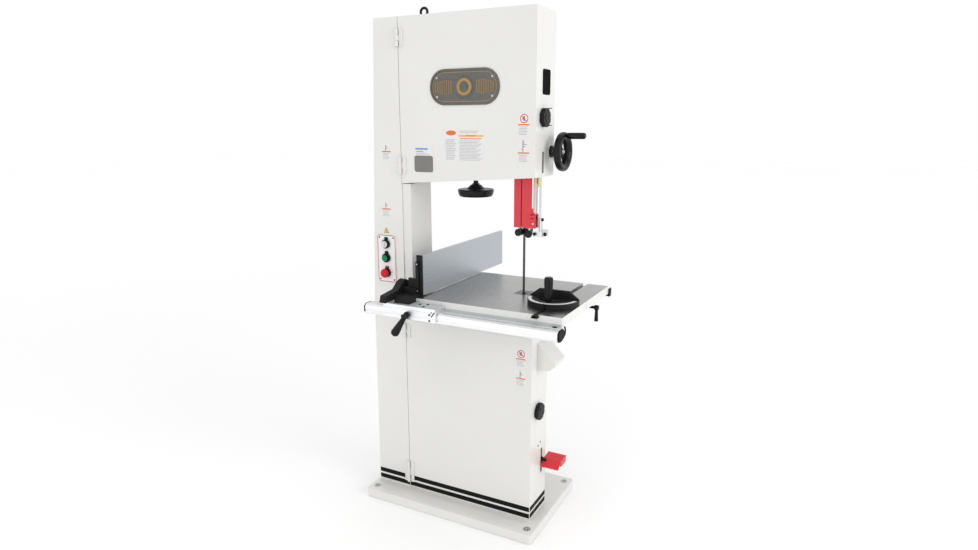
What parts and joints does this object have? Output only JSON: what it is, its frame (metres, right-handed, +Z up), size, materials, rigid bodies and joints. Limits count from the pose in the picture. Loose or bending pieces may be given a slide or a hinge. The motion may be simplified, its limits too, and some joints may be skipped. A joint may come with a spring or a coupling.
{
  "type": "vertical band saw",
  "caption": "Floor-standing vertical band saw with two enclosed band wheels, a tilting table, a rip fence and a miter gauge.",
  "frame": {"origin": "centre of the base's footprint, on the floor", "axes": "+Z up, +X from the column towards the blade and the crank, +Y from the operator's side to the back"},
  "size_m": [0.919, 0.838, 2.048],
  "materials": {
    "paint_ivory": "smooth satin paint",
    "red_paint": "gloss paint",
    "dark_casting": "satin black",
    "motor_paint": "satin paint",
    "ground_iron": "ground flat",
    "wheel_iron": "turned",
    "bright_steel": "machined",
    "blade_steel": "hardened strip",
    "aluminium": "satin",
    "black_plastic": "fine grain",
    "panel_white": "satin",
    "tyre_rubber": "matte",
    "belt_rubber": "matte",
    "button_green": "gloss",
    "button_red": "gloss",
    "key_metal": "polished"
  },
  "bodies": {
    "machine": {"base_plate": "paint_ivory", "spine": "paint_ivory", "blade_run_cover": "paint_ivory", "upper_housing": "paint_ivory", "lower_housing": "paint_ivory", "dust_hood": "paint_ivory", "dust_port": "paint_ivory", "lifting_eye": "bright_steel", "hinge_knuckles": "paint_ivory", "control_plate": "panel_white", "switch_bezels": "black_plastic", "cable_gland": "black_plastic", "blade": "blade_steel", "tension_rails": "bright_steel", "post_guide": "dark_casting", "bearing_housing": "dark_casting", "belt_cover": "paint_ivory", "motor": "motor_paint", "drive_belt": "belt_rubber", "trunnion_cradles": "dark_casting", "lower_guides": "dark_casting", "brake_bracket": "dark_casting"},
    "upper_door": {"upper_door": "paint_ivory"},
    "lower_door": {"lower_door": "paint_ivory"},
    "upper_latch": {"upper_latch": "black_plastic"},
    "lower_latch": {"lower_latch": "black_plastic"},
    "tension_carriage": {"tension_carriage": "dark_casting"},
    "tension_handwheel": {"tension_handwheel": "black_plastic"},
    "wheel_yoke": {"wheel_yoke": "bright_steel"},
    "tracking_knob": {"tracking_knob": "black_plastic"},
    "upper_wheel": {"upper_wheel": "wheel_iron", "upper_tyre": "tyre_rubber"},
    "lower_wheel": {"lower_wheel": "wheel_iron", "lower_tyre": "tyre_rubber", "drive_shaft": "bright_steel"},
    "motor_pulley": {"motor_pulley": "bright_steel"},
    "guide_post": {"guide_post": "bright_steel", "blade_guard": "red_paint", "guide_bracket": "bright_steel"},
    "left_bearing": {"left_bearing": "bright_steel"},
    "right_bearing": {"right_bearing": "bright_steel"},
    "thrust_bearing": {"thrust_bearing": "bright_steel"},
    "crank": {"crank_wheel": "black_plastic", "crank_pinion": "bright_steel"},
    "table": {"table_top": "ground_iron", "table_insert": "aluminium", "front_rail": "aluminium", "rear_rail": "aluminium"},
    "tilt_lever": {"tilt_lever": "black_plastic"},
    "fence": {"fence_carriage": "aluminium", "fence_plate": "aluminium"},
    "fence_lever": {"fence_lever": "black_plastic"},
    "fence_grip": {"fence_grip": "black_plastic"},
    "miter_bar": {"miter_bar": "black_plastic"},
    "miter_head": {"miter_head": "black_plastic"},
    "miter_knob": {"miter_knob": "black_plastic"},
    "brake_pedal": {"brake_pedal": "red_paint"},
    "start_button": {"start_button": "button_green"},
    "stop_button": {"stop_button": "button_red"},
    "key_switch": {"key_switch": "key_metal"}
  },
  "joints": [
    {"name": "upper_door_hinge", "type": "hinge", "parent": "machine", "child": "upper_door", "pos_m": [-0.229, -0.152, 1.7], "axis": [0, 0, -1], "range_deg": [0, 115]},
    {"name": "lower_door_hinge", "type": "hinge", "parent": "machine", "child": "lower_door", "pos_m": [-0.229, -0.152, 0.42], "axis": [0, 0, -1], "range_deg": [0, 115]},
    {"name": "upper_latch_turn", "type": "hinge", "parent": "machine", "child": "upper_latch", "pos_m": [0.348, -0.082, 1.625], "axis": [1, 0, 0], "range_deg": [0, 90]},
    {"name": "lower_latch_turn", "type": "hinge", "parent": "machine", "child": "lower_latch", "pos_m": [0.346, -0.081, 0.491], "axis": [1, 0, 0], "range_deg": [0, 90]},
    {"name": "tension_slide", "type": "slide", "parent": "machine", "child": "tension_carriage", "axis": [0, 0, 1], "range_m": [-0.02, 0]},
    {"name": "tension_turn", "type": "hinge", "parent": "machine", "child": "tension_handwheel", "pos_m": [0.025, 0.008, 1.34], "axis": [0, 0, 1], "range_deg": [-1801, 1]},
    {"name": "yoke_tilt", "type": "hinge", "parent": "tension_carriage", "child": "wheel_yoke", "pos_m": [0.025, 0.007, 1.7], "axis": [1, 0, 0], "range_deg": [-0.3, 0.3]},
    {"name": "tracking_turn", "type": "hinge", "parent": "tension_carriage", "child": "tracking_knob", "pos_m": [0.025, 0.03, 1.712], "axis": [0, 1, 0], "range_deg": [-361, 361]},
    {"name": "upper_wheel_spin", "type": "hinge", "parent": "wheel_yoke", "child": "upper_wheel", "pos_m": [0.025, -0.024, 1.7], "axis": [0, 1, 0], "continuous": true},
    {"name": "lower_wheel_spin", "type": "hinge", "parent": "machine", "child": "lower_wheel", "pos_m": [0.025, -0.024, 0.49], "axis": [0, 1, 0], "continuous": true},
    {"name": "motor_spin", "type": "hinge", "parent": "machine", "child": "motor_pulley", "pos_m": [0.1, 0.086, 0.14], "axis": [0, 1, 0], "continuous": true},
    {"name": "guide_post_slide", "type": "slide", "parent": "machine", "child": "guide_post", "axis": [0, 0, -1], "range_m": [-0.08, 0.19]},
    {"name": "crank_turn", "type": "hinge", "parent": "machine", "child": "crank", "pos_m": [0.4, 0.00275, 1.502], "axis": [1, 0, 0], "range_deg": [-230, 545]},
    {"name": "left_bearing_spin", "type": "hinge", "parent": "guide_post", "child": "left_bearing", "pos_m": [0.2405, -0.023, 1.194], "axis": [0, 1, 0], "continuous": true},
    {"name": "right_bearing_spin", "type": "hinge", "parent": "guide_post", "child": "right_bearing", "pos_m": [0.2689, -0.023, 1.194], "axis": [0, 1, 0], "continuous": true},
    {"name": "thrust_bearing_spin", "type": "hinge", "parent": "guide_post", "child": "thrust_bearing", "pos_m": [0.2547, 0.0005, 1.234], "axis": [1, 0, 0], "continuous": true},
    {"name": "table_tilt", "type": "hinge", "parent": "machine", "child": "table", "pos_m": [0.2547, 0, 0.948], "axis": [0, 1, 0], "range_deg": [-5, 45]},
    {"name": "tilt_lever_turn", "type": "hinge", "parent": "table", "child": "tilt_lever", "pos_m": [0.4, 0.124, 0.886], "axis": [1, 0, 0], "range_deg": [-60, 60]},
    {"name": "fence_slide", "type": "slide", "parent": "table", "child": "fence", "axis": [-1, 0, 0], "range_m": [-0.318, 0.02]},
    {"name": "fence_lever_lift", "type": "hinge", "parent": "fence", "child": "fence_lever", "pos_m": [-0.163, -0.24, 0.984], "axis": [-1, 0, 0], "range_deg": [0, 60]},
    {"name": "fence_grip_turn", "type": "hinge", "parent": "fence", "child": "fence_grip", "pos_m": [-0.08, -0.36, 0.9], "axis": [0, 1, 0], "range_deg": [0, 75]},
    {"name": "miter_slide", "type": "slide", "parent": "table", "child": "miter_bar", "axis": [0, 1, 0], "range_m": [-0.15, 0.33]},
    {"name": "miter_swing", "type": "hinge", "parent": "miter_bar", "child": "miter_head", "pos_m": [0.417, -0.115, 0.955], "axis": [0, 0, 1], "range_deg": [-55, 55]},
    {"name": "miter_knob_turn", "type": "hinge", "parent": "miter_bar", "child": "miter_knob", "pos_m": [0.417, -0.165, 0.98], "axis": [0, 0, 1], "range_deg": [0, 180]},
    {"name": "brake_press", "type": "hinge", "parent": "machine", "child": "brake_pedal", "pos_m": [0.06, -0.03, 0.24], "axis": [0, 1, 0], "range_deg": [0, 3], "stiffness_Nm_per_rad": 150, "springref_deg": -5.73},
    {"name": "start_press", "type": "slide", "parent": "machine", "child": "start_button", "axis": [0, 1, 0], "range_m": [0, 0.003], "stiffness_N_per_m": 400, "springref_m": -0.002},
    {"name": "stop_press", "type": "slide", "parent": "machine", "child": "stop_button", "axis": [0, 1, 0], "range_m": [0, 0.004]},
    {"name": "key_turn", "type": "hinge", "parent": "machine", "child": "key_switch", "pos_m": [-0.311, -0.16, 1.122], "axis": [0, 1, 0], "range_deg": [-45, 45]}
  ],
  "couplings": [
    {"joint": "tension_turn", "follows": "tension_slide", "rad_per_m": 1570.8},
    {"joint": "tracking_turn", "follows": "yoke_tilt", "ratio": 1200},
    {"joint": "motor_spin", "follows": "lower_wheel_spin", "ratio": 2.3684},
    {"joint": "crank_turn", "follows": "guide_post_slide", "rad_per_m": 50}
  ]
}
